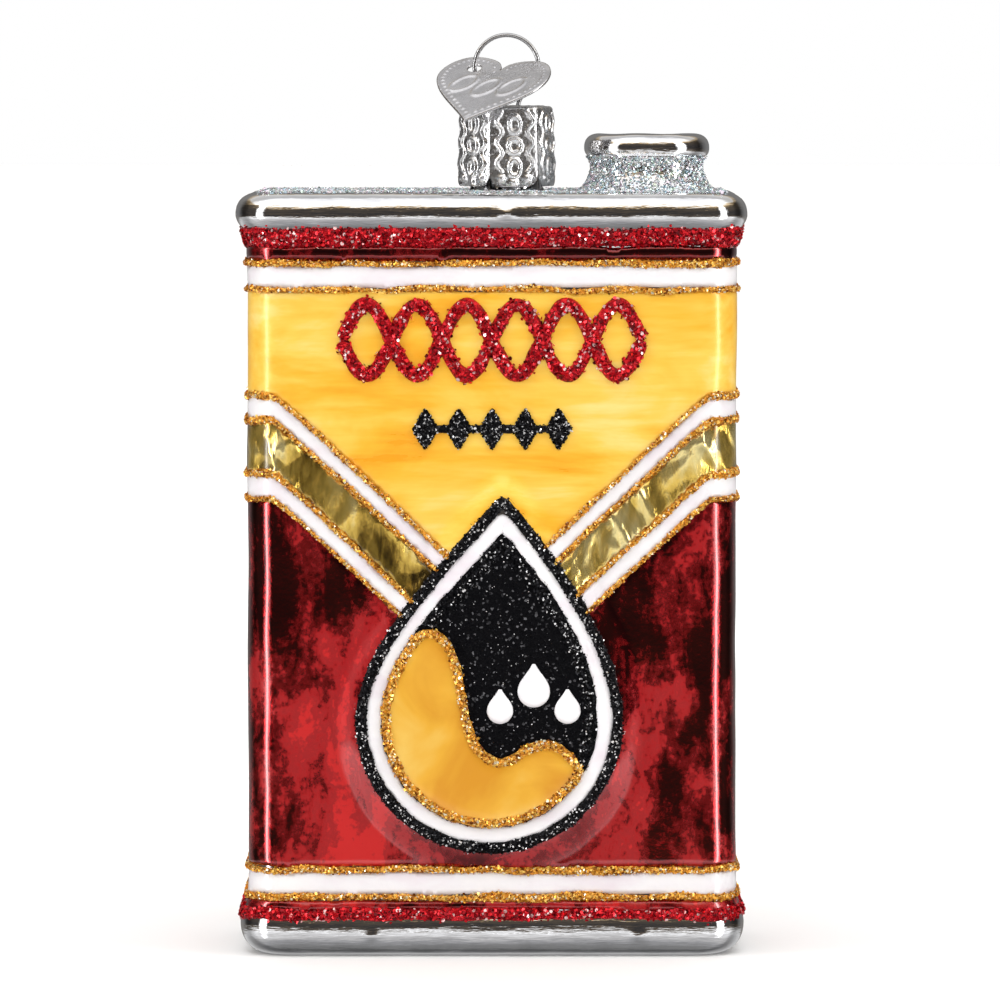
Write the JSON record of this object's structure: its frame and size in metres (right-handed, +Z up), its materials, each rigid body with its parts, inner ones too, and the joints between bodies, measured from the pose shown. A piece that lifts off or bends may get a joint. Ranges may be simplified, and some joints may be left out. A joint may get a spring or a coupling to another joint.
{
  "type": "oil can glass ornament",
  "caption": "Blown-glass hanging ornament shaped like a rectangular oil tin, with enamel, lacquer and glitter coats, a stamped cap, a wire loop hanger and a heart tag.",
  "frame": {"origin": "middle of the flat base, at the bottom centre of the whole ornament", "axes": "+Z up towards the cap and loop, front face looks along -Y, false spout on the +X side"},
  "size_m": [0.058, 0.0322, 0.1042],
  "materials": {
    "silvered_glass": "mirror silver behind clear blown glass",
    "silver_glitter": "silver flakes with a rainbow sheen",
    "red_glitter": "red flakes",
    "gold_glitter": "old-gold flakes",
    "black_glitter": "black flakes with white sparkle",
    "red_lacquer": "clear red lacquer over silver",
    "gold_lacquer": "clear gold lacquer over silver",
    "yellow_enamel": "satin enamel, brushed by hand",
    "white_enamel": "satin enamel",
    "black_enamel": "black enamel with fine sparkle",
    "stamped_tin": "bright stamped tin",
    "spring_wire": "drawn steel wire",
    "tag_foil": "thin stamped sheet, satin"
  },
  "bodies": {
    "glass": {"glass_body": "silvered_glass", "silver_glitter_deck": "silver_glitter", "silver_glitter_spout": "silver_glitter", "red_glitter_top": "red_glitter", "red_lacquer_top": "red_lacquer", "gold_line_top_upper": "gold_glitter", "white_band_top": "white_enamel", "gold_line_top_lower": "gold_glitter", "yellow_panel": "yellow_enamel", "red_lacquer_panel": "red_lacquer", "gold_line_bottom_upper": "gold_glitter", "white_band_bottom": "white_enamel", "gold_line_bottom_lower": "gold_glitter", "red_lacquer_bottom": "red_lacquer", "red_glitter_bottom": "red_glitter", "gold_line_bend_1_left": "gold_glitter", "white_bend_upper_left": "white_enamel", "gold_line_bend_2_left": "gold_glitter", "gold_bend_left": "gold_lacquer", "gold_line_bend_3_left": "gold_glitter", "white_bend_lower_left": "white_enamel", "gold_line_bend_4_left": "gold_glitter", "gold_line_bend_1_right": "gold_glitter", "white_bend_upper_right": "white_enamel", "gold_line_bend_2_right": "gold_glitter", "gold_bend_right": "gold_lacquer", "gold_line_bend_3_right": "gold_glitter", "white_bend_lower_right": "white_enamel", "gold_line_bend_4_right": "gold_glitter", "drop_outline_front": "black_glitter", "drop_white_line_front": "white_enamel", "drop_black_field_front": "black_enamel", "drop_oil_front": "yellow_enamel", "drop_oil_edge_front": "gold_glitter", "red_motif_front": "red_glitter", "black_motif_front": "black_glitter", "droplet_1_front": "white_enamel", "droplet_2_front": "white_enamel", "droplet_3_front": "white_enamel", "drop_outline_back": "black_glitter", "drop_white_line_back": "white_enamel", "drop_black_field_back": "black_enamel", "drop_oil_back": "yellow_enamel", "drop_oil_edge_back": "gold_glitter", "red_motif_back": "red_glitter", "black_motif_back": "black_glitter", "droplet_1_back": "white_enamel", "droplet_2_back": "white_enamel", "droplet_3_back": "white_enamel"},
    "cap": {"cap_crown": "stamped_tin"},
    "hanger": {"hanger_wire": "spring_wire"},
    "tag": {"heart_tag": "tag_foil"}
  },
  "joints": [
    {"name": "cap_lift", "type": "slide", "parent": "glass", "child": "cap", "axis": [0, 0, 1], "range_m": [0, 0.025]},
    {"name": "hanger_pull", "type": "slide", "parent": "cap", "child": "hanger", "axis": [0, 0, 1], "range_m": [0, 0.005]},
    {"name": "tag_swing", "type": "hinge", "parent": "hanger", "child": "tag", "pos_m": [-0.002, 0, 0.1001], "axis": [0, 0, -1], "range_deg": [0, 75]}
  ]
}
